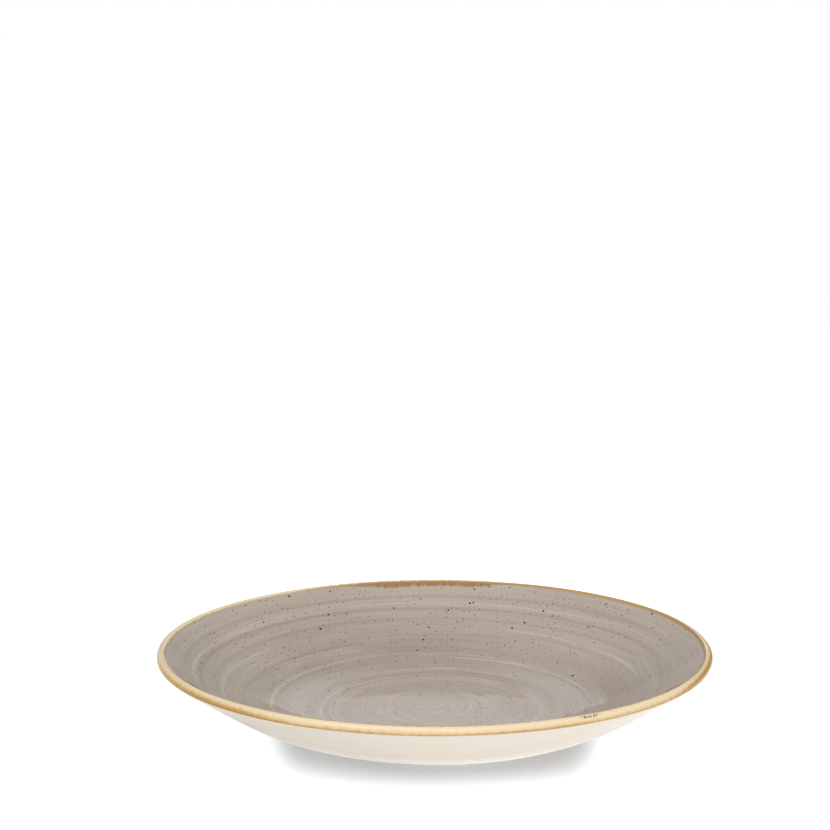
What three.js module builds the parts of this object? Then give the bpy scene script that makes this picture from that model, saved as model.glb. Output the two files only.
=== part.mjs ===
// Deep coupe plate: a one-piece fired clay body with a rolled lip and a low foot ring, and the
// four coats of glaze fired onto it. Millimetres, +Z up, origin on the table under the centre.
import * as THREE from 'three';

// Driving dimensions over the finished glaze, in millimetres and degrees
const RIM_DIAMETER = 281;
const HEIGHT = 44;
const LIP_THICKNESS = 4.7;
const FLARE_ANGLE = 34.4;
const WELL_HEIGHT = 8;
const WELL_SWEEP_RADIUS = 100;
const UNDER_ANGLE = 14.6;
const UNDER_SWEEP_RADIUS = 119;

// Foot ring: the bare clay that meets the table
const FOOT_DIAMETER = 127;
const FOOT_WIDTH = 3.6;
const FOOT_HEIGHT = 2.4;
const FOOT_DRAFT = 18;
const FOOT_ROUND_RADIUS = 0.7;
const FOOT_FILLET_RADIUS = 1.4;
const BARE_HEIGHT = 1;
const RECESS_HEIGHT = 3.2;
const RECESS_FILLET_RADIUS = 2;

// Glaze coats: thickness, how far the edge band reaches, and the hairline gaps round each coat
const GLAZE_THICKNESS = 0.4;
const BAND_INSIDE_REACH = 1.2;
const BAND_OUTSIDE_ANGLE = -28;
const BOND_GAP = 0.05;

// Facets: round the plate, and along each arc of the section
const TURN_SEGMENTS = 64;
const SWEEP_DIVISIONS = 5;
const LIP_DIVISIONS = 7;
const LIP_TAIL_DIVISIONS = 1;
const FILLET_DIVISIONS = 2;

const COLOURS = { clay: 0xe9e2d4, stone: 0xa99c90, amber: 0xd9ae66, cream: 0xeae2d2 };

// The section is drawn in a plane: x is the distance from the plate's axis, y is the height.
const at = (radius, height) => new THREE.Vector2(radius, height);
const heading = (degrees) => at(1, 0).rotateAround(at(0, 0), THREE.MathUtils.degToRad(degrees));
const moved = (point, direction, distance) => point.clone().addScaledVector(direction, distance);
const line = (from, to) => new THREE.LineCurve(from, to);

// The point on a straight run that lies at a given height.
const atHeight = (point, direction, height) => moved(point, direction, (height - point.y) / direction.y);

// Where two straight runs cross.
function crossing(point, direction, otherPoint, otherDirection) {
  const between = otherPoint.clone().sub(point);
  return moved(point, direction, between.cross(otherDirection) / direction.cross(otherDirection));
}

// An arc of the section, between two headings from its centre.
function arc(centre, radius, fromDegrees, toDegrees) {
  const [from, to] = [fromDegrees, toDegrees].map(THREE.MathUtils.degToRad);
  return new THREE.EllipseCurve(centre.x, centre.y, radius, radius, from, to, from > to);
}

// The arc that rounds a corner between two straight runs.
function rounded(before, corner, after, radius) {
  const back = before.clone().sub(corner).normalize();
  const onward = after.clone().sub(corner).normalize();
  const halfAngle = back.angleTo(onward) / 2;
  const centre = moved(corner, back.clone().add(onward).normalize(), radius / Math.sin(halfAngle));
  const reach = radius / Math.tan(halfAngle);
  const from = moved(corner, back, reach).sub(centre).angle();
  const to = moved(corner, onward, reach).sub(centre).angle();
  return new THREE.EllipseCurve(centre.x, centre.y, radius, radius, from, to, back.cross(onward) > 0);
}

// Lip: a full round between the two faces of the flared wall
const lipRadius = LIP_THICKNESS / 2;
const lipCentre = at(RIM_DIAMETER / 2 - lipRadius, HEIGHT - lipRadius);
const upWall = heading(FLARE_ANGLE);
const insideDegrees = FLARE_ANGLE + 90;
const outsideDegrees = FLARE_ANGLE - 90;
const wallTopInside = moved(lipCentre, heading(insideDegrees), lipRadius);
const wallTopOutside = moved(lipCentre, heading(outsideDegrees), lipRadius);
const bandEdgeInside = moved(wallTopInside, upWall, -BAND_INSIDE_REACH);

// Well: the flat floor and the sweep that carries it into the wall
const floorCentre = at(0, WELL_HEIGHT);
const wellCorner = atHeight(wallTopInside, upWall, WELL_HEIGHT);
const wellSweep = rounded(floorCentre, wellCorner, wallTopInside, WELL_SWEEP_RADIUS);

// Foot ring: clay corners on the table, and the glazed faces that stand off the clay sides
const footRadius = FOOT_DIAMETER / 2;
const footOuter = at(footRadius, 0);
const footInner = at(footRadius - FOOT_WIDTH, 0);
const upFootOutside = heading(90 - FOOT_DRAFT);
const upFootInside = heading(90 + FOOT_DRAFT);
const bareEdgeOutside = atHeight(footOuter, upFootOutside, BARE_HEIGHT);
const bareEdgeInside = atHeight(footInner, upFootInside, BARE_HEIGHT);
const glazeEdgeOutside = moved(bareEdgeOutside, heading(-FOOT_DRAFT), GLAZE_THICKNESS);
const glazeEdgeInside = moved(bareEdgeInside, heading(180 + FOOT_DRAFT), GLAZE_THICKNESS);
const footRoot = atHeight(glazeEdgeOutside, upFootOutside, FOOT_HEIGHT);
const recessCorner = atHeight(glazeEdgeInside, upFootInside, RECESS_HEIGHT);
const recessCentre = at(0, RECESS_HEIGHT);

// Underside: a shallow cone off the foot, swept into the outside of the wall
const underCorner = crossing(footRoot, heading(UNDER_ANGLE), wallTopOutside, upWall);
const underSweep = rounded(wallTopOutside, underCorner, footRoot, UNDER_SWEEP_RADIUS);
const footFillet = rounded(underCorner, footRoot, glazeEdgeOutside, FOOT_FILLET_RADIUS);
const footRoundOuter = rounded(bareEdgeOutside, footOuter, footInner, FOOT_ROUND_RADIUS);
const footRoundInner = rounded(footOuter, footInner, bareEdgeInside, FOOT_ROUND_RADIUS);
const recessFillet = rounded(glazeEdgeInside, recessCorner, recessCentre, RECESS_FILLET_RADIUS);

const first = (curve) => curve.getPoint(0);
const last = (curve) => curve.getPoint(1);

// The section's outline, from the middle of the well over the lip to the middle of the recess.
// Each stretch is a list of curves, with the number of facets along each of them.
const jointDegrees = THREE.MathUtils.radToDeg(BOND_GAP / lipRadius);
const faceStretch = [
  [line(floorCentre, first(wellSweep)), 1],
  [wellSweep, SWEEP_DIVISIONS],
  [line(last(wellSweep), moved(bandEdgeInside, upWall, -BOND_GAP)), 1],
];
const bandStretch = [
  [line(bandEdgeInside, wallTopInside), 1],
  [arc(lipCentre, lipRadius, insideDegrees, BAND_OUTSIDE_ANGLE), LIP_DIVISIONS],
];
const wallStretch = [
  [arc(lipCentre, lipRadius, BAND_OUTSIDE_ANGLE - jointDegrees, outsideDegrees), LIP_TAIL_DIVISIONS],
  [line(wallTopOutside, first(underSweep)), 1],
  [underSweep, SWEEP_DIVISIONS],
  [line(last(underSweep), first(footFillet)), 1],
  [footFillet, FILLET_DIVISIONS],
  [line(last(footFillet), glazeEdgeOutside), 1],
];
const bareStretch = [
  [footRoundOuter, FILLET_DIVISIONS],
  [line(last(footRoundOuter), first(footRoundInner)), 1],
  [footRoundInner, FILLET_DIVISIONS],
];
const baseStretch = [
  [line(glazeEdgeInside, first(recessFillet)), 1],
  [recessFillet, FILLET_DIVISIONS],
  [line(last(recessFillet), recessCentre), 1],
];

// Points along a stretch, sunk square to its surface by a depth.
function pointsAlong(stretch, depth) {
  return stretch.flatMap(([curve, divisions], index) => {
    const steps = Array.from({ length: divisions + 1 }, (_, step) => step / divisions);
    return steps.slice(index === 0 ? 0 : 1).map((share) => {
      const tangent = curve.getTangent(share);
      return moved(curve.getPoint(share), at(tangent.y, -tangent.x), depth);
    });
  });
}

// Turns a section outline into a named solid about the plate's upright axis.
function turned(name, outline, colour, roughness) {
  const geometry = new THREE.LatheGeometry(outline, TURN_SEGMENTS).rotateX(Math.PI / 2);
  const material = new THREE.MeshStandardMaterial({ color: colour, roughness, metalness: 0 });
  const mesh = new THREE.Mesh(geometry, material);
  mesh.name = name;
  return mesh;
}

// The two sides of a coat: just clear of the clay, and back along the finished surface.
const clearOfClay = (stretch) => pointsAlong(stretch, GLAZE_THICKNESS - BOND_GAP);
const finished = (stretch) => pointsAlong(stretch, 0).reverse();

// A coat that goes round the plate without reaching its axis closes on itself.
function ringCoat(stretch) {
  const outline = [...clearOfClay(stretch), ...finished(stretch)];
  return [...outline, outline[0]];
}

// The clay: every glazed stretch sunk by the coat's thickness, with the foot left bare.
const clayOutline = [
  ...pointsAlong(faceStretch, GLAZE_THICKNESS),
  ...pointsAlong(bandStretch, GLAZE_THICKNESS),
  ...pointsAlong(wallStretch, GLAZE_THICKNESS),
  ...pointsAlong(bareStretch, 0),
  ...pointsAlong(baseStretch, GLAZE_THICKNESS),
].reverse();
const wellOutline = [...clearOfClay(faceStretch), ...finished(faceStretch)];
const recessOutline = [...finished(baseStretch), ...clearOfClay(baseStretch)];

const plate = new THREE.Group();
plate.add(
  turned('clay_body', clayOutline, COLOURS.clay, 0.6),
  turned('well_glaze', wellOutline, COLOURS.stone, 0.15),
  turned('edge_band_glaze', ringCoat(bandStretch), COLOURS.amber, 0.2),
  turned('underside_glaze', ringCoat(wallStretch), COLOURS.cream, 0.15),
  turned('foot_recess_glaze', recessOutline, COLOURS.cream, 0.15),
);

export default plate;
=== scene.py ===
# %% [markdown]
# Deep coupe plate: stoneware with a brushed grey face, a golden edge and a cream underside.
#
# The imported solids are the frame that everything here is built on. They already have the right
# size and section, so this lesson takes the section from them, gives it a smooth surface, and then
# spends most of its time on the glazes, which are what the eye sees on a plate.

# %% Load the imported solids
import math

import bmesh
import bpy
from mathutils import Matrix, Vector
from mathutils.bvhtree import BVHTree


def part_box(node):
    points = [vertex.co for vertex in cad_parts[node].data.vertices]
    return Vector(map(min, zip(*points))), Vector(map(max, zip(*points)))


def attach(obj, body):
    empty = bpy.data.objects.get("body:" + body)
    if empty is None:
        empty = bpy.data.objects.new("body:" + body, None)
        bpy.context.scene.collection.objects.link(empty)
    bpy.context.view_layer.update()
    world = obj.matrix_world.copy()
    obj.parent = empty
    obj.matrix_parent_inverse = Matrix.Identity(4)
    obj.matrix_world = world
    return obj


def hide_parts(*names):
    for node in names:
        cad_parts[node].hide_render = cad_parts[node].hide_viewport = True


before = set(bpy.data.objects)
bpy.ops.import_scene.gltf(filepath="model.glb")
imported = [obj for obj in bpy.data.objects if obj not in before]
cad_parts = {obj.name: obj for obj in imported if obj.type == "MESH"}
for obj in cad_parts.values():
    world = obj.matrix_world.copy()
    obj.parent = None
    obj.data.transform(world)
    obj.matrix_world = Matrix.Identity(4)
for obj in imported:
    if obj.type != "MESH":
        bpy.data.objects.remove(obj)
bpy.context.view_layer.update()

scene = bpy.context.scene
MM = 0.001
print("solids:", sorted(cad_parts))

# %% [markdown]
# The camera stands in front of the plate, a little above its rim, so that the far half of the well
# shows and the near wall hides the rest. It could be aimed with a tracking constraint, but a plain
# place and tilt are easier to read and give the same picture each time. The plate leans by a tenth
# of a degree in the picture, which the roll gives, and the small sideways shift puts the plate's
# axis where it is there, right of the middle.

# %% Camera
CAMERA_PLACE = (0.0, -0.6698, 0.2234)
CAMERA_TILT = math.radians(84.54)
CAMERA_ROLL = math.radians(-0.1)
CAMERA_LENS = 57.64
SENSOR_WIDTH = 36.0
IMAGE_WIDTH = 830
AXIS_OFFSET_PIXELS = 20.4

camera = bpy.data.objects.new("camera", bpy.data.cameras.new("camera"))
scene.collection.objects.link(camera)
camera.location = CAMERA_PLACE
camera.rotation_euler = (CAMERA_TILT, CAMERA_ROLL, 0.0)
camera.data.lens = CAMERA_LENS
camera.data.sensor_width = SENSOR_WIDTH
camera.data.shift_x = -AXIS_OFFSET_PIXELS / IMAGE_WIDTH
scene.camera = camera
scene.view_settings.view_transform = "Standard"
print("camera at", CAMERA_PLACE, "lens", CAMERA_LENS)

# %% [markdown]
# A plate is turned on a wheel or pressed in a round mould, so one half section says everything
# about its shape. The section could be drawn again from measurements; cutting it out of the solids
# is shorter and can't drift away from them. Each coat of glaze gives a closed outline: one side
# lies against the clay and the other is the finished surface, and only the finished side is kept.

# %% Half section of the finished surface
MERGE_DISTANCE = 1e-6
HAIRLINE = 0.07 * MM
COAT_THICKNESS = 0.35 * MM


def cut_half_section(node_names):
    """Leave only the edges where the solids meet the half plane y = 0, x >= 0."""
    section = bmesh.new()
    for node_name in node_names:
        section.from_mesh(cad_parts[node_name].data)
    bmesh.ops.remove_doubles(section, verts=section.verts, dist=MERGE_DISTANCE)
    everything = section.verts[:] + section.edges[:] + section.faces[:]
    bmesh.ops.bisect_plane(
        section, geom=everything, dist=MERGE_DISTANCE, plane_co=(0, 0, 0), plane_no=(0, 1, 0),
        clear_inner=True, clear_outer=True)
    other_half = [vert for vert in section.verts if vert.co.x < -MERGE_DISTANCE]
    bmesh.ops.delete(section, geom=other_half, context="VERTS")
    return section


clay = bmesh.new()
clay.from_mesh(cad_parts["clay_body"].data)
clay_surface = BVHTree.FromBMesh(clay)
clay.free()


def keep_finished_side(section):
    """Drop the points that lie against the clay, and close the hairlines between the coats."""
    against_clay = [
        vert for vert in section.verts
        if clay_surface.find_nearest(vert.co)[3] < COAT_THICKNESS / 2]
    bmesh.ops.delete(section, geom=against_clay, context="VERTS")
    bmesh.ops.remove_doubles(section, verts=section.verts, dist=HAIRLINE)


glazed_section = cut_half_section(["well_glaze", "edge_band_glaze", "underside_glaze"])
keep_finished_side(glazed_section)
recess_section = cut_half_section(["foot_recess_glaze"])
keep_finished_side(recess_section)
print("glazed outline:", len(glazed_section.verts), "points; recess:", len(recess_section.verts))

# %% [markdown]
# The outline is now spun about the plate's axis. The straight runs are divided first, so that no
# face is much longer than its neighbours, and one extra point is put close under the edge of the
# band: a subdivision surface pulls a line towards its far neighbour, and this point holds it.

# %% Spin the outlines
LONGEST_RUN = 11 * MM
BAND_HOLD = 1.2 * MM
SPIN_STEPS = 96

well_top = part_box("well_glaze")[1][2]


def divide_long_runs(section):
    """Split each run that is longer than LONGEST_RUN into equal parts."""
    for edge in section.edges[:]:
        cuts = math.ceil(edge.calc_length() / LONGEST_RUN) - 1
        if cuts > 0:
            bmesh.ops.subdivide_edges(section, edges=[edge], cuts=cuts)


def hold_band_edge(section):
    """Put a point on the flared wall just below the edge of the band."""
    band_edge = min(section.verts, key=lambda vert: abs(vert.co.z - well_top))
    run_below = min(band_edge.link_edges, key=lambda edge: edge.other_vert(band_edge).co.z)
    bmesh.utils.edge_split(run_below, band_edge, BAND_HOLD / run_below.calc_length())


def spin_round(section):
    """Turn an outline into a round skin whose faces point out of the plate."""
    outline = section.verts[:] + section.edges[:]
    bmesh.ops.spin(
        section, geom=outline, cent=(0, 0, 0), axis=(0, 0, 1), angle=2 * math.pi,
        steps=SPIN_STEPS, use_merge=True)
    bmesh.ops.remove_doubles(section, verts=section.verts, dist=MERGE_DISTANCE)
    bmesh.ops.recalc_face_normals(section, faces=section.faces)


divide_long_runs(glazed_section)
hold_band_edge(glazed_section)
spin_round(glazed_section)
divide_long_runs(recess_section)
spin_round(recess_section)
print("cage faces:", len(glazed_section.faces), "and", len(recess_section.faces))

# %% [markdown]
# Glaze melts and levels in the kiln, so the finished surface has no facets at all. The face, the
# band and the underside could each be smoothed on their own, but then their edges would not quite
# agree and the light would break at the joints. Here the whole skin is smoothed as one sheet, and
# the coats are cut from it afterwards.

# %% Smooth the skin
SKIN_LEVELS = 2


def smoothed(cage, name):
    """Return a bmesh of the cage's subdivision surface."""
    mesh = bpy.data.meshes.new(name)
    cage.to_mesh(mesh)
    cage.free()
    holder = bpy.data.objects.new(name, mesh)
    scene.collection.objects.link(holder)
    surface = holder.modifiers.new("smooth", "SUBSURF")
    surface.levels = SKIN_LEVELS
    surface.render_levels = SKIN_LEVELS
    graph = bpy.context.evaluated_depsgraph_get()
    skin = bmesh.new()
    skin.from_object(holder, graph)
    bpy.data.objects.remove(holder)
    bpy.data.meshes.remove(mesh)
    return skin


glazed_skin = smoothed(glazed_section, "glazed_skin")
recess_skin = smoothed(recess_section, "recess_skin")
print("smooth faces:", len(glazed_skin.faces), "and", len(recess_skin.faces))

# %% [markdown]
# Each coat is cut from the smooth skin and given its thickness inwards, towards the clay. The band
# is told from the rest by its height on either side of the lip's crest; what is left is the face
# where it looks up and the underside where it looks down. The recess inside the foot is a skin of
# its own and needs no cutting.

# %% Cut the coats
band_low, band_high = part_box("edge_band_glaze")
band_bottom = band_low[2]
crest_radius = (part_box("well_glaze")[1][0] + band_high[0]) / 2


def coat_of(face):
    """Say which coat of glaze a face of the skin belongs to."""
    middle = face.calc_center_median()
    inside = math.hypot(middle.x, middle.y) < crest_radius
    if middle.z > (well_top if inside else band_bottom):
        return "edge_band_glaze"
    return "well_glaze" if face.normal.z > 0 else "underside_glaze"


def cut_out(node_name):
    """A copy of the glazed skin with only one coat's faces."""
    coat = glazed_skin.copy()
    others = [face for face in coat.faces if coat_of(face) != node_name]
    bmesh.ops.delete(coat, geom=others, context="FACES")
    return coat


def make_piece(name, surface, node_name):
    """Make a smooth piece that stands for a node, and hide the node's own solid."""
    mesh = bpy.data.meshes.new(name)
    surface.to_mesh(mesh)
    surface.free()
    mesh.shade_smooth()
    piece = bpy.data.objects.new(name, mesh)
    scene.collection.objects.link(piece)
    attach(piece, "root")
    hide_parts(node_name)
    return piece


def make_coat(name, coat, node_name):
    """Thicken a coat towards the clay; its cut edges stay sharp."""
    for edge in coat.edges:
        edge.smooth = not edge.is_boundary
    piece = make_piece(name, coat, node_name)
    thickness = piece.modifiers.new("coat thickness", "SOLIDIFY")
    thickness.thickness = COAT_THICKNESS
    thickness.offset = -1.0
    print(name, len(piece.data.polygons), "faces")
    return piece


face_coat = make_coat("face_coat", cut_out("well_glaze"), "well_glaze")
edge_band = make_coat("edge_band", cut_out("edge_band_glaze"), "edge_band_glaze")
underside_coat = make_coat("underside_coat", cut_out("underside_glaze"), "underside_glaze")
recess_coat = make_coat("recess_coat", recess_skin, "foot_recess_glaze")
glazed_skin.free()

# %% [markdown]
# Under the glaze is the clay itself. Only the wiped foot ring shows, but the whole body is made,
# because a plate that is cut open or chipped in another scene should have clay inside it.

# %% Clay body
CLAY_LEVELS = 1

clay_section = cut_half_section(["clay_body"])
divide_long_runs(clay_section)
spin_round(clay_section)
clay_body = make_piece("fired_clay", clay_section, "clay_body")
clay_smooth = clay_body.modifiers.new("smooth", "SUBSURF")
clay_smooth.levels = CLAY_LEVELS
clay_smooth.render_levels = CLAY_LEVELS
print("clay cage:", len(clay_body.data.polygons), "faces")

# %% [markdown]
# The finishes are written as sums on sockets. A socket in this class can be added, subtracted,
# multiplied and divided like a number, and each sum adds a Math node; every other node comes from
# the one method `node`, which sets the node up and then fills or links its sockets.

# %% A socket that can be used in sums


class Wire:
    """A socket of a shader that can be used in Python sums."""

    def __init__(self, tree, socket=None):
        self.tree = tree
        self.socket = socket

    def node(self, kind, settings=None, sockets=None, output=0):
        """Add a node, set it up, fill or link its sockets, and return one output."""
        made = self.tree.nodes.new(kind)
        for name, setting in (settings or {}).items():
            if name == "stops":
                self.set_stops(made.color_ramp.elements, setting)
            else:
                setattr(made, name, setting)
        for name, value in (sockets or {}).items():
            if isinstance(value, Wire):
                self.tree.links.new(value.socket, made.inputs[name])
            else:
                made.inputs[name].default_value = value
        return Wire(self.tree, made.outputs[output])

    @staticmethod
    def set_stops(elements, stops):
        """Give a ramp its stops, in rising order."""
        for index, (position, colour) in enumerate(stops):
            stop = elements[index] if index < len(elements) else elements.new(position)
            stop.position = position
            stop.color = colour

    def also(self, output):
        """Another output of the node that this socket belongs to."""
        return Wire(self.tree, self.socket.node.outputs[output])

    def math(self, operation, first, second=0.0):
        """One Math node on two numbers or sockets."""
        return self.node("ShaderNodeMath", {"operation": operation}, {0: first, 1: second})

    def __add__(self, other):
        return self.math("ADD", self, other)

    def __sub__(self, other):
        return self.math("SUBTRACT", self, other)

    def __rsub__(self, other):
        return self.math("SUBTRACT", other, self)

    def __mul__(self, other):
        return self.math("MULTIPLY", self, other)

    def __truediv__(self, other):
        return self.math("DIVIDE", self, other)

    __radd__ = __add__
    __rmul__ = __mul__


print("sums on sockets are ready")

# %% [markdown]
# A glaze has no hard borders: one tone melts into the next. So most of what follows is soft steps
# between two limits, colours mixed by such a step, clouds of noise and a little relief. Those few
# moves are named here once, and each finish is then a short list of them.

# %% Soft steps, colours and relief
RELIEF_DEPTH = 0.2 * MM


def ease(value, low, high):
    """Go smoothly from 0 at low to 1 at high; low may be the larger one."""
    limits = {"Value": value, "From Min": low, "From Max": high}
    return value.node("ShaderNodeMapRange", {"interpolation_type": "SMOOTHSTEP"}, limits)


def between(value, low, high, soft):
    """1 between low and high, fading to 0 over the soft distance at each end."""
    return ease(value, low - soft, low + soft) * (1 - ease(value, high - soft, high + soft))


def blend(share, first, second):
    """Mix two colours."""
    return share.node(
        "ShaderNodeMix", {"data_type": "RGBA"}, {0: share, 6: first, 7: second}, output=2)


def ramp(value, stops):
    """The colour that a list of stops gives for a number from 0 to 1."""
    return value.node("ShaderNodeValToRGB", {"stops": stops}, {0: value})


def noise(place, scale, detail):
    """A cloudy number about 0.5; scale is the number of clouds in a millimetre."""
    return place.node(
        "ShaderNodeTexNoise", None, {"Vector": place, "Scale": scale, "Detail": detail})


def relief(height, strength):
    """Fine relief of the surface, up to RELIEF_DEPTH high."""
    return height.node(
        "ShaderNodeBump", None,
        {"Strength": strength, "Distance": RELIEF_DEPTH, "Height": height})


def seen(red, green, blue):
    """A colour as an eye reads it off a screen, 0 to 255, turned into light."""
    def to_light(level):
        share = level / 255
        return share / 12.92 if share <= 0.04045 else ((share + 0.055) / 1.055) ** 2.4
    return (to_light(red), to_light(green), to_light(blue), 1.0)


def new_finish(name, *pieces):
    """A new material on the pieces; returns a wire to start from and the surface shader."""
    material = bpy.data.materials.new(name)
    material.use_nodes = True
    for piece in pieces:
        piece.data.materials.append(material)
    return Wire(material.node_tree), material.node_tree.nodes["Principled BSDF"]


def feed(shader, wires):
    """Link wires to the sockets of a surface shader."""
    for name, wire in wires.items():
        wire.tree.links.new(wire.socket, shader.inputs[name])


print("middle grey of the eye is", round(seen(128, 128, 128)[0], 3), "of the light of white")

# %% [markdown]
# Everything painted on a plate follows its rings, so the finishes need plate coordinates: how far
# a point is from the axis and which way round it lies. They come from the Object coordinates in
# millimetres. The brush was started a little off the axis, so the rings near the middle are drawn
# round that point and settle on the true axis further out.

# %% Plate coordinates
EYE = (-1.9, 2.1)
EYE_REACH = 60


def plate_place(start):
    """Object coordinates in millimetres."""
    place = start.node("ShaderNodeTexCoord", output="Object")
    return start.node("ShaderNodeVectorMath", {"operation": "SCALE"}, {0: place, "Scale": 1 / MM})


def split(place):
    """The x, y and z of a place."""
    x = place.node("ShaderNodeSeparateXYZ", sockets={0: place})
    return x, x.also("Y"), x.also("Z")


def flat_place(x, y):
    """A place on the flat, as it is seen from above."""
    return x.node("ShaderNodeCombineXYZ", sockets={"X": x, "Y": y})


def distance(x, y):
    """How far a flat place lies from the axis."""
    return x.node("ShaderNodeVectorMath", {"operation": "LENGTH"}, {0: flat_place(x, y)}, "Value")


def round_axis(x, y):
    """Distance from the axis, degrees round it from 0 to 360, and the way out as a vector."""
    turns = x.math("FRACT", x.math("ARCTAN2", y, x) / (2 * math.pi) + 1)
    way_out = x.node("ShaderNodeVectorMath", {"operation": "NORMALIZE"}, {0: flat_place(x, y)})
    return distance(x, y), turns * 360, way_out


def turning_noise(along, way_out, wander, detail):
    """Noise about 0 that changes along a number and, as often as wander says, round the plate."""
    x, y, _ = split(way_out)
    stretched = way_out.node(
        "ShaderNodeCombineXYZ", sockets={"X": along, "Y": x * wander, "Z": y * wander})
    return noise(stretched, 1.0, detail) - 0.5


def ring_noise(radius, way_out, ring_width, wander, seed):
    """Noise drawn out into rings: ring_width across, with a few changes round the plate."""
    return turning_noise(radius / ring_width + seed, way_out, wander, 1.0)


print("rings are drawn round", EYE, "mm")

# %% [markdown]
# The face is a grey-beige stone glaze, brushed on while the plate turns, so it is all rings: wide
# soft ones, narrower ones and fine bristle lines. Noise that is stretched round the plate gives
# those. On top come the strokes that stand out, each a short spiral with its own start, sweep and
# width. Most are paler than the ground, and a few are darker, where the brush left less glaze.

# %% Brush strokes of the face
# start and sweep in degrees; first and last radius, and half width, in millimetres; strength
STROKES = (
    (32, 328, 50.5, 51.7, 0.45, 0.19),
    (0, 225, 51.9, 60.0, 0.5, 0.20),
    (150, 300, 53.8, 54.6, 0.5, 0.16),
    (0, 95, 80.0, 80.0, 0.8, 0.18),
    (97, 263, 85.0, 80.0, 0.8, 0.16),
    (40, 70, 83.0, 84.0, 0.5, 0.10),
    (115, 42, 91.0, 92.0, 1.2, 0.13),
    (120, 40, 94.0, 95.0, 0.7, 0.12),
    (0, 75, 106.0, 106.0, 0.8, 0.13),
    (150, 60, 107.0, 108.0, 0.8, 0.12),
    (20, 200, 122.0, 121.5, 1.0, 0.11),
    (170, 330, 5.0, 5.6, 0.4, 0.10),
    (160, 335, 10.8, 11.6, 0.4, 0.11),
    (150, 345, 18.4, 19.0, 0.35, -0.12),
    (150, 345, 19.6, 20.2, 0.35, 0.12),
    (40, 290, 21.0, 21.4, 0.35, -0.08),
    (170, 300, 27.6, 28.8, 0.35, 0.09),
    (300, 200, 33.0, 36.0, 0.35, 0.09),
    (120, 280, 40.5, 41.5, 0.35, 0.08),
    (20, 150, 47.2, 48.0, 0.35, 0.12),
    (78, 17, 67.0, 66.6, 0.6, 0.20),
    (84, 12, 71.5, 71.2, 0.5, 0.14),
    (86, 12, 82.4, 82.2, 0.5, 0.14),
    (106, 10, 96.5, 96.3, 0.6, 0.12),
    (0, 230, 118.5, 118.5, 0.8, -0.13),
    (10, 210, 126.5, 126.5, 0.9, -0.11),
    (60, 250, 96.0, 98.0, 1.0, -0.09),
    (0, 300, 62.0, 66.0, 1.8, -0.08),
    (10, 180, 112.0, 111.5, 0.8, -0.08),
)
# where a stroke sets in and runs out, as shares of its length, and how softly
STROKE_ENDS = (0.04, 0.9, 0.06)


def stroke(radius, degrees, begin, sweep, first_radius, last_radius, half_width, strength):
    """One spiral stroke, soft at its sides and at both ends."""
    along = radius.math("FRACT", (degrees - begin) / 360 + 1) * (360 / sweep)
    path = along * (last_radius - first_radius) + first_radius
    aside = radius.math("ABSOLUTE", radius - path)
    return (1 - ease(aside, 0.0, half_width * 2)) * between(along, *STROKE_ENDS) * strength


print(len(STROKES), "strokes")

# %% [markdown]
# Iron in the glaze boils up as dark specks, hundreds of fine ones and a few large. A Voronoi
# texture puts one point in each cell of a jittered grid; each cell's own random colour says whether
# it has a speck, how big it is and how dark. The largest specks catch the eye, so they are placed
# one by one.

# %% Iron specks
# angle in degrees, distance from the axis and outer radius in millimetres
BLOTS = (
    (27, 84.4, 1.1), (127, 110.6, 1.0), (130, 134.0, 0.9), (94, 95.9, 0.85), (80, 122.0, 0.85),
    (58, 121.3, 0.85), (102, 118.8, 0.7), (65, 107.8, 0.8), (86, 117.0, 0.7), (122, 118.6, 0.75),
    (92, 105.3, 0.7), (62, 112.6, 0.7), (26, 135.0, 0.9), (40, 89.6, 0.6), (164, 75.9, 0.7),
    (147, 56.7, 0.9), (156, 62.3, 0.8), (-5, 26.6, 0.8), (-168, 121.8, 1.0), (-83, 75.4, 1.1),
    (-84, 99.5, 1.1))
# how much of a speck is dark right through, and how dark the palest one is
SPECK_CORE = 0.55
BLOT_CORE = 0.5
PALEST_SPECK = 0.6


def specks(place, share, spacing, smallest, largest):
    """Round specks in a share of the cells; spacing and half widths in millimetres."""
    cells = place.node(
        "ShaderNodeTexVoronoi", {"voronoi_dimensions": "2D", "feature": "F1"},
        {"Vector": place, "Scale": 1 / spacing, "Randomness": 1.0})
    chance = place.node("ShaderNodeSeparateColor", sockets={0: cells.also("Color")})
    size = (chance.also("Green") * (largest - smallest) + smallest) / spacing
    there = place.math("LESS_THAN", chance, share)
    spot = 1 - ease(cells, size * SPECK_CORE, size)
    return spot * there * (chance.also("Blue") * (1 - PALEST_SPECK) + PALEST_SPECK)


def blots(x, y):
    """The few large specks, each at its own place on the face."""
    flat = flat_place(x, y)
    found = None
    for degrees, radius, size in BLOTS:
        angle = math.radians(degrees)
        centre = (radius * math.cos(angle), radius * math.sin(angle), 0.0)
        away = flat.node(
            "ShaderNodeVectorMath", {"operation": "DISTANCE"}, {0: flat, 1: centre}, "Value")
        spot = 1 - ease(away, size * BLOT_CORE, size)
        found = spot if found is None else flat.math("MAXIMUM", found, spot)
    return found


print(len(BLOTS), "large specks")

# %% [markdown]
# The tones of the face are gathered into one number, from thin dark glaze to thick pale glaze, and
# a ramp turns that number into colour. Each ring could have a colour of its own, but on the plate
# it is one glaze that lies thicker or thinner, so grey and beige change together. A few paler and
# darker patches of painted light and shade are added to the same number.

# %% Tones of the stone glaze
FACE_RADIUS = 140.5
RING_TONES = ((0.0, 0.65), (0.30, 0.66), (0.37, 0.67), (0.43, 0.60), (0.52, 0.57), (0.65, 0.56),
              (0.72, 0.63), (0.80, 0.68), (0.88, 0.71), (0.96, 0.74))
STONE = ((0.0, seen(122, 109, 99)), (0.30, seen(149, 135, 124)), (0.50, seen(168, 154, 142)),
         (0.75, seen(190, 177, 164)), (1.0, seen(216, 205, 192)))
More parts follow.
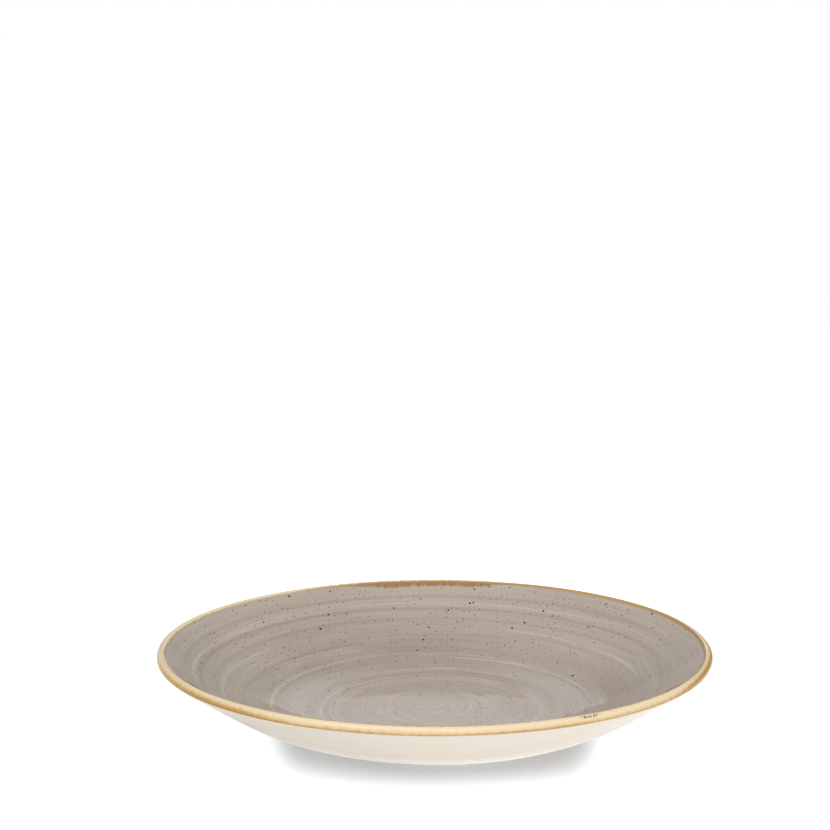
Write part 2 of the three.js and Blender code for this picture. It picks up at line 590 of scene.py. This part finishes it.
# rings: width in millimetres, changes round the plate, and a number that picks the pattern
WIDE_RINGS = (10.0, 0.7, 3.7)
NARROW_RINGS = (4.2, 1.1, 11.3)
BRISTLE_LINES = (0.95, 2.4, 29.1)
WIDE_SHARE = 0.17
NARROW_SHARE = 0.11
BRISTLE_SHARE = 0.25
BRISTLE_MORE_AT_EYE = 0.05
CENTRE_DOT = 0.16
# painted light and shade, as paler and darker patches: first and last degree, softness; first and
# last radius in millimetres, softness; how much paler
PAINTED_LIGHT_PATCHES = (
    ((12, 70, 22), (72.0, 112.0, 14.0), 0.105),
    ((150, 240, 12), (60.0, 110.0, 10.0), 0.098),
    ((106, 142, 12), (108.0, 134.0, 8.0), -0.06),
)

start, shader = new_finish("stone_glaze", face_coat)
place = plate_place(start)
x, y, _ = split(place)
true_radius, true_degrees, true_way = round_axis(x, y)
off_centre = 1 - ease(true_radius, 0.0, EYE_REACH)
radius, degrees, way_out = round_axis(x - off_centre * EYE[0], y - off_centre * EYE[1])
wavy_radius = radius + (noise(place, 0.012, 0.0) - 0.5) * 2

wide_rings = ring_noise(wavy_radius, way_out, *WIDE_RINGS)
narrow_rings = ring_noise(wavy_radius, way_out, *NARROW_RINGS)
bristle_lines = ring_noise(wavy_radius, way_out, *BRISTLE_LINES)
near_eye = 1 - ease(radius, 48.0, 62.0)
ring_tone = ramp(
    true_radius / FACE_RADIUS, [(at, (tone, tone, tone, 1)) for at, tone in RING_TONES])
tone = start.node("ShaderNodeRGBToBW", sockets={0: ring_tone})
tone = tone + wide_rings * WIDE_SHARE + narrow_rings * NARROW_SHARE
tone = tone + bristle_lines * (near_eye * BRISTLE_MORE_AT_EYE + BRISTLE_SHARE)

painted = (1 - ease(radius, 0.6, 1.6)) * CENTRE_DOT
for values in STROKES:
    painted = painted + stroke(wavy_radius, degrees, *values)
broken = bristle_lines * 1.6 + 1
tone = tone + painted * broken
# painted light and shade: paler and darker patches where light falls unevenly on the face
for sector, ring, paler in PAINTED_LIGHT_PATCHES:
    tone = tone + between(degrees, *sector) * between(radius, *ring) * paler
stone = ramp(tone, STONE)
print("face toned by", len(STROKES), "strokes and", len(PAINTED_LIGHT_PATCHES), "patches")

# %% [markdown]
# Close to the edge the iron of the golden band stains the stone glaze brown, most of all at the far
# side, where it ran down into the well in streaks. Over that lie the specks, from dust to coarse
# ones, more in some places than in others. The surface is smooth enough to mirror the far rim in
# the floor of the well, so its roughness is close to nothing and the rings give it only a
# little relief.

# %% Stain, specks and gloss of the face
EDGE_STAIN = seen(158, 121, 66)
IRON = seen(46, 30, 20)
# radius in millimetres where the stain sets in and where it is full
STAIN_FROM, STAIN_FULL = 135.3, 137.3
# first and last degree of the far side where the band ran down, and the softness of its ends
RUN_DEGREES = (76, 110, 9)
THICK_RUNS = ((76, 82, 2), (98, 104, 2))
# how far the glaze ran down, in millimetres: everywhere, in the streaks, and in the thick runs
RUN_LENGTH, STREAK_LENGTH, THICK_LENGTH = 1.7, 2.8, 0.7
# spacing of the specks, and half width of the smallest and the largest, in millimetres
DUST = (1.9, 0.10, 0.24)
FINE_SPECKS = (3.3, 0.22, 0.55)
COARSE_SPECKS = (11.0, 0.40, 0.75)

ragged = noise(place, 0.45, 3.0)
streaks = turning_noise(5.0, true_way, 60.0, 2.0) + 0.5
run_down = between(true_degrees, *RUN_DEGREES) * (streaks * STREAK_LENGTH + RUN_LENGTH)
for thick_run in THICK_RUNS:
    run_down = run_down + between(true_degrees, *thick_run) * THICK_LENGTH
stain = ease(true_radius + (ragged - 0.5) * 1.6 + run_down, STAIN_FROM, STAIN_FULL)
face_colour = blend(stain * (streaks * 0.8 + 0.45), stone, EDGE_STAIN)

crowding = noise(place, 0.07, 1.0) * 2.6 - 0.3
speck_share = (ease(radius, 50.0, 75.0) * 0.06 + 0.28) * crowding
iron = blots(x, y)
for layer in (
        specks(place, speck_share * 0.5, *DUST) * 0.5,
        specks(place, speck_share, *FINE_SPECKS),
        specks(place, 0.3, *COARSE_SPECKS)):
    iron = start.math("MAXIMUM", iron, layer)
face_colour = blend(iron, face_colour, IRON)

face_relief = narrow_rings + bristle_lines * 0.08 + painted * 1.2
feed(shader, {
    "Base Color": face_colour,
    "Roughness": bristle_lines * 0.01 + 0.02,
    "Normal": relief(face_relief, 0.32)})
print("stone glaze on", face_coat.name)

# %% [markdown]
# The edge is dipped or banded in an iron glaze that runs as it melts. It slides off the crest of
# the lip, which is left pale, and gathers golden below it on the outside and as a thin brown line
# on the inside. The pale crest is partly that thin glaze and partly a painted highlight. So the
# colour follows the direction in which a point looks out of the round lip, and noise makes its
# lines wander. The colours are shifted a little at both ends and at the far side, partly because
# the glaze didn't run alike all round and partly to move the painted highlight of the crest. On the
# inside the brown line fades into the stone glaze, except where it ran down into the well.

# %% Colours round the lip
LIP_RADIUS = 2.35
lip_centre_radius = band_high[0] / MM - LIP_RADIUS
lip_centre_height = band_high[2] / MM - LIP_RADIUS
# direction in degrees, from level outwards over the crest to the inside; the pale crest is partly
# painted highlight
LIP_COLOURS_AND_HIGHLIGHT = (
    (-28, seen(186, 142, 74)), (-4, seen(206, 168, 102)), (12, seen(225, 196, 144)),
    (30, seen(235, 210, 168)), (52, seen(239, 218, 184)), (96, seen(238, 215, 179)),
    (107, seen(212, 174, 118)), (116, seen(182, 143, 90)), (156, seen(172, 136, 90)))
LIP_FROM = -30
LIP_SPAN = 190
CREST = 79
FAR_GOLD = seen(200, 158, 92)
INNER_GREY = seen(174, 157, 139)


def lip_share(direction):
    """Where a direction lies between the ends of the lip, from 0 to 1."""
    return (direction - LIP_FROM) / LIP_SPAN


start, shader = new_finish("amber_glaze", edge_band)
place = plate_place(start)
x, y, z = split(place)
radius, degrees, way_out = round_axis(x, y)
side, back, _ = split(way_out)
looks = start.math("ARCTAN2", z - lip_centre_height, radius - lip_centre_radius)
share = lip_share(looks * (180 / math.pi))

# At the right end the colours follow each other more closely and the pale crest, partly a painted
# highlight, moves inwards; on the left the inside is paler.
crest = lip_share(CREST)
right = ease(side + back * 0.25, 0.55, 0.95)
share = (share - right * (0.12 - back * 0.3) - crest) * (right * 1.2 + 1) + crest
past_crest = start.math("MAXIMUM", share - crest, 0.0)
share = share - past_crest * ease(side, -0.2, -1.0) * 0.3

# The lines wander, and the gold climbs higher at the far side and at the near left, where the pale
# crest, partly a painted highlight, moves inwards.
around = turning_noise(11.9, way_out, 2.2, 2.0)
mottle = noise(place, 0.5, 4.0) - 0.5
smears = noise(place, 1.5, 2.0) - 0.5
share = share + around * 0.28 + mottle * 0.24 + smears * 0.16
share = share + 0.08 - side * side * 0.05 - ease(back, -1.0, 1.0) * (0.15 - side * 0.08)
share = share - ease(side, -0.35, -0.8) * ease(back, -0.1, -0.5) * 0.18
gold = ramp(share, [(lip_share(direction), colour) for direction, colour in LIP_COLOURS_AND_HIGHLIGHT])

far_right = ease(back, 0.1, 0.6) * ease(side, 0.2, 0.6)
gold = blend(far_right * 0.9, gold, FAR_GOLD)
inner_fade = ease(looks, math.radians(136), math.radians(153))
inner_fade = inner_fade * (0.8 - between(degrees, *RUN_DEGREES) * 0.65)
gold = blend(inner_fade, gold, INNER_GREY)
print("golden band round", round(lip_centre_radius, 2), "mm")

# %% [markdown]
# The band has fine iron specks of its own and, on the near edge, one burnt patch. Both are drawn on
# the lip as if it were unrolled flat, in millimetres along it and across it, so that the specks
# stay round on the narrow curve.

# %% Specks and burnt patch of the band
BAND_IRON = seen(96, 62, 28)
BAND_SPECKS = (4.0, 0.12, 0.34)
lip_length = 2 * math.pi * lip_centre_radius
burnt_along = 298 / 360 * lip_length
burnt_across = math.radians(56) * LIP_RADIUS
BURNT_HALF_LENGTH = 7

along = degrees / 360 * lip_length
across = looks * LIP_RADIUS
iron = specks(flat_place(along, across), 0.35, *BAND_SPECKS)
flecks = noise(place, 1.1, 1.0)
burnt = distance((along - burnt_along) / BURNT_HALF_LENGTH, across - burnt_across)
iron = start.math("MAXIMUM", iron, (1 - ease(burnt, 0.5, 1.0)) * ease(flecks, 0.43, 0.51))
feed(shader, {
    "Base Color": blend(iron * 0.8, gold, BAND_IRON),
    "Roughness": mottle * 0.06 + 0.07})
shader.inputs["Specular IOR Level"].default_value = 0.25
print("burnt patch", round(burnt_along), "mm along", edge_band.name)

# %% [markdown]
# The underside and the recess inside the foot ring are dipped in a plain cream glaze. It is close
# to one colour, a little warmer where it lies thin, with faint turning rings and a rare fine speck.

# %% Cream glaze
CREAM_THIN = seen(232, 221, 204)
CREAM_THICK = seen(239, 230, 215)
CREAM_IRON = seen(150, 120, 86)
CREAM_SPECKS = (9.0, 0.10, 0.22)
TURNING_RINGS = (5.0, 0.8, 17.0)

start, shader = new_finish("cream_glaze", underside_coat, recess_coat)
place = plate_place(start)
x, y, _ = split(place)
radius, _, way_out = round_axis(x, y)
clouds = noise(place, 0.03, 2.0)
turning_rings = ring_noise(radius, way_out, *TURNING_RINGS)
cream = blend(clouds + turning_rings * 0.5, CREAM_THIN, CREAM_THICK)
feed(shader, {
    "Base Color": blend(specks(place, 0.25, *CREAM_SPECKS) * 0.6, cream, CREAM_IRON),
    "Roughness": clouds * 0.06 + 0.10,
    "Normal": relief(turning_rings, 0.1)})
print("cream glaze on", underside_coat.name, "and", recess_coat.name)

# %% [markdown]
# The foot ring is wiped clean before firing, or it would melt onto the kiln shelf. What shows there
# is the bare clay: matt, off white, slightly sandy, and greyed where it rubs on tables.

# %% Bare clay of the foot
CLAY_PALE = seen(226, 215, 196)
CLAY_SAND = seen(196, 180, 154)
RUBBED = seen(178, 170, 158)

start, shader = new_finish("bare_clay", clay_body)
place = plate_place(start)
_, _, z = split(place)
grain = noise(place, 2.2, 3.0)
clay_colour = blend(ease(grain, 0.42, 0.68), CLAY_PALE, CLAY_SAND)
rubbed = (1 - ease(z, 0.02, 0.25)) * ease(noise(place, 0.12, 2.0), 0.38, 0.62)
feed(shader, {
    "Base Color": blend(rubbed * 0.7, clay_colour, RUBBED),
    "Roughness": grain * 0.2 + 0.55,
    "Normal": relief(grain, 0.3)})
print("bare clay on", clay_body.name)

# %% [markdown]
# The plate stands on a pale floor that reads as white paper. To the eye the floor glows up to
# white, except round the foot, where the glow is held low in a shadow that is wider at the front
# and deeper on the right: a painted shadow laid over the plate's own soft shadow. In the mirror of
# the glaze the floor is warmer, and its glow is painted darker on the left and darkest there close
# to the foot: painted shade that the underside mirrors. From below the floor is clear, so that the
# foot can be looked at.

# %% Floor
FLOOR_HALF = 6.0
FLOOR_GREY = (0.86, 0.86, 0.86, 1.0)
EYE_TINT = (1.0, 1.04, 1.1, 1.0)
MIRROR_TINT = (1.0, 0.98, 0.94, 1.0)
# glow in the painted shadow and outside it, and how much deeper the painted shadow is on the right
SHADOW_GLOW, WHITE_GLOW, RIGHT_PAINTED_SHADOW = 0.35, 0.81, 0.06
SHADOW_FROM, SHADOW_TO = 66.0, 106.0
# at the front: how far the painted shadow is drawn out sideways, and where and how fast it then
# ends
SHADOW_SQUEEZE, SHADOW_SIDE, SHADOW_END = 0.72, 58, 3
# the mirrored floor on the left and in the middle, and the painted shade that takes from it on the
# right, close to the foot and further out
MIRROR_LEFT, MIRROR_MIDDLE = 0.60, 1.04
RIGHT_PAINTED_SHADE, FOOT_PAINTED_SHADE, OUTER_PAINTED_SHADE = 0.11, 0.85, 0.24


def seen_directly(start):
    """1 for what the camera sees, and 1 for what it sees in a mirror or through glass."""
    path = start.node("ShaderNodeLightPath", output="Is Camera Ray")
    mirrored = start.math("MAXIMUM", path.also("Is Glossy Ray"), path.also("Is Transmission Ray"))
    return path, mirrored


floor_mesh = bmesh.new()
bmesh.ops.create_grid(floor_mesh, x_segments=2, y_segments=2, size=FLOOR_HALF)
floor_data = bpy.data.meshes.new("floor")
floor_mesh.to_mesh(floor_data)
floor_mesh.free()
floor = bpy.data.objects.new("floor", floor_data)
scene.collection.objects.link(floor)

start, shader = new_finish("pale_floor", floor)
shader.inputs["Base Color"].default_value = FLOOR_GREY
shader.inputs["Roughness"].default_value = 0.9
shader.inputs["Specular IOR Level"].default_value = 0.0
shader.inputs["Emission Strength"].default_value = 1.0
x, y, _ = split(plate_place(start))
from_axis = distance(x, y)
past_side = start.math("MAXIMUM", start.math("ABSOLUTE", x) - SHADOW_SIDE, 0.0)
front_reach = distance(distance(x * SHADOW_SQUEEZE, y), past_side * SHADOW_END)
reach = from_axis + (front_reach - from_axis) * ease(y, 0.0, -40.0)
# painted shadow: the floor's glow is held low round the foot, over the plate's own shadow
glow = ease(reach, SHADOW_FROM, SHADOW_TO) * (WHITE_GLOW - SHADOW_GLOW) + SHADOW_GLOW
glow = glow - ease(x, 10.0, 60.0) * (1 - ease(reach, 80.0, SHADOW_TO)) * RIGHT_PAINTED_SHADOW
in_mirror = ease(x, -110.0, 20.0) * (MIRROR_MIDDLE - MIRROR_LEFT) + MIRROR_LEFT
in_mirror = in_mirror - ease(x, 30.0, 90.0) * RIGHT_PAINTED_SHADE
# painted shade: the mirrored floor is darker close to the foot on the left
in_mirror = in_mirror - (1 - ease(from_axis, 64.0, 80.0)) * ease(x, 30.0, -40.0) * FOOT_PAINTED_SHADE
in_mirror = in_mirror - ease(from_axis, 74.0, 105.0) * OUTER_PAINTED_SHADE
by_eye, mirrored = seen_directly(start)
floor_light = start.node(
    "ShaderNodeVectorMath", {"operation": "SCALE"},
    {0: blend(mirrored, EYE_TINT, MIRROR_TINT), "Scale": by_eye * glow + mirrored * in_mirror})
from_below = start.node("ShaderNodeNewGeometry", output="Backfacing")
feed(shader, {"Emission Color": floor_light, "Alpha": 1 - from_below})
print("floor", 2 * FLOOR_HALF, "m wide")

# %% [markdown]
# Round it all is a white studio that lights the plate evenly. A glaze as smooth as this one would
# mirror a white studio as a milky veil, so in mirrors the room is dim, with one soft lit panel
# behind the plate, which the floor of the well mirrors over the far rim.

# %% Surroundings
AMBIENT = 0.50
DIM_ROOM = 0.27
LIT_PANEL = 0.75
# the panel keeps this share of its light below the height of the far rim
LOW_SHARE = 0.25

world = bpy.data.worlds.new("studio")
scene.world = world
world.use_nodes = True
start = Wire(world.node_tree)
studio = world.node_tree.nodes["Background"]
studio.inputs["Color"].default_value = (1.0, 1.0, 1.0, 1.0)
aside, behind, height = split(start.node("ShaderNodeTexCoord", output="Generated"))
panel = ease(behind, 0.3, 0.8) * (1 - ease(height, 0.45, 0.7))
panel = panel * (ease(height, 0.14, 0.26) * (1 - LOW_SHARE) + LOW_SHARE)
panel = panel * ease(aside, -0.12, -0.04) * (1 - ease(aside, 0.03, 0.14))
room = panel * (LIT_PANEL - DIM_ROOM) + DIM_ROOM
by_eye, mirrored = seen_directly(start)
level = by_eye * (1 - AMBIENT) + mirrored * (room - AMBIENT) + AMBIENT
feed(studio, {"Strength": level})
print("ambient light", AMBIENT, "of white")

# %% [markdown]
# Two large soft lamps stand on the camera's side: one high in front for the well, and a low one at
# the right that reaches under the flared wall.

# %% Lamps
LAMP_AIM = Vector((0.0, 0.0, 0.02))


def soft_lamp(name, place, width, height, power):
    """A rectangular soft box at a place, turned towards the plate."""
    lamp = bpy.data.lights.new(name, "AREA")
    lamp.shape = "RECTANGLE"
    lamp.size = width
    lamp.size_y = height
    lamp.energy = power
    holder = bpy.data.objects.new(name, lamp)
    scene.collection.objects.link(holder)
    holder.location = place
    holder.rotation_euler = (Vector(place) - LAMP_AIM).to_track_quat("Z", "Y").to_euler()
    print(name, "at", place, "with", power, "W")


soft_lamp("high_front", (-0.3, -1.0, 1.7), 2.0, 1.4, 22.0)
soft_lamp("low_front", (1.2, -1.6, 0.2), 2.4, 0.36, 8.0)
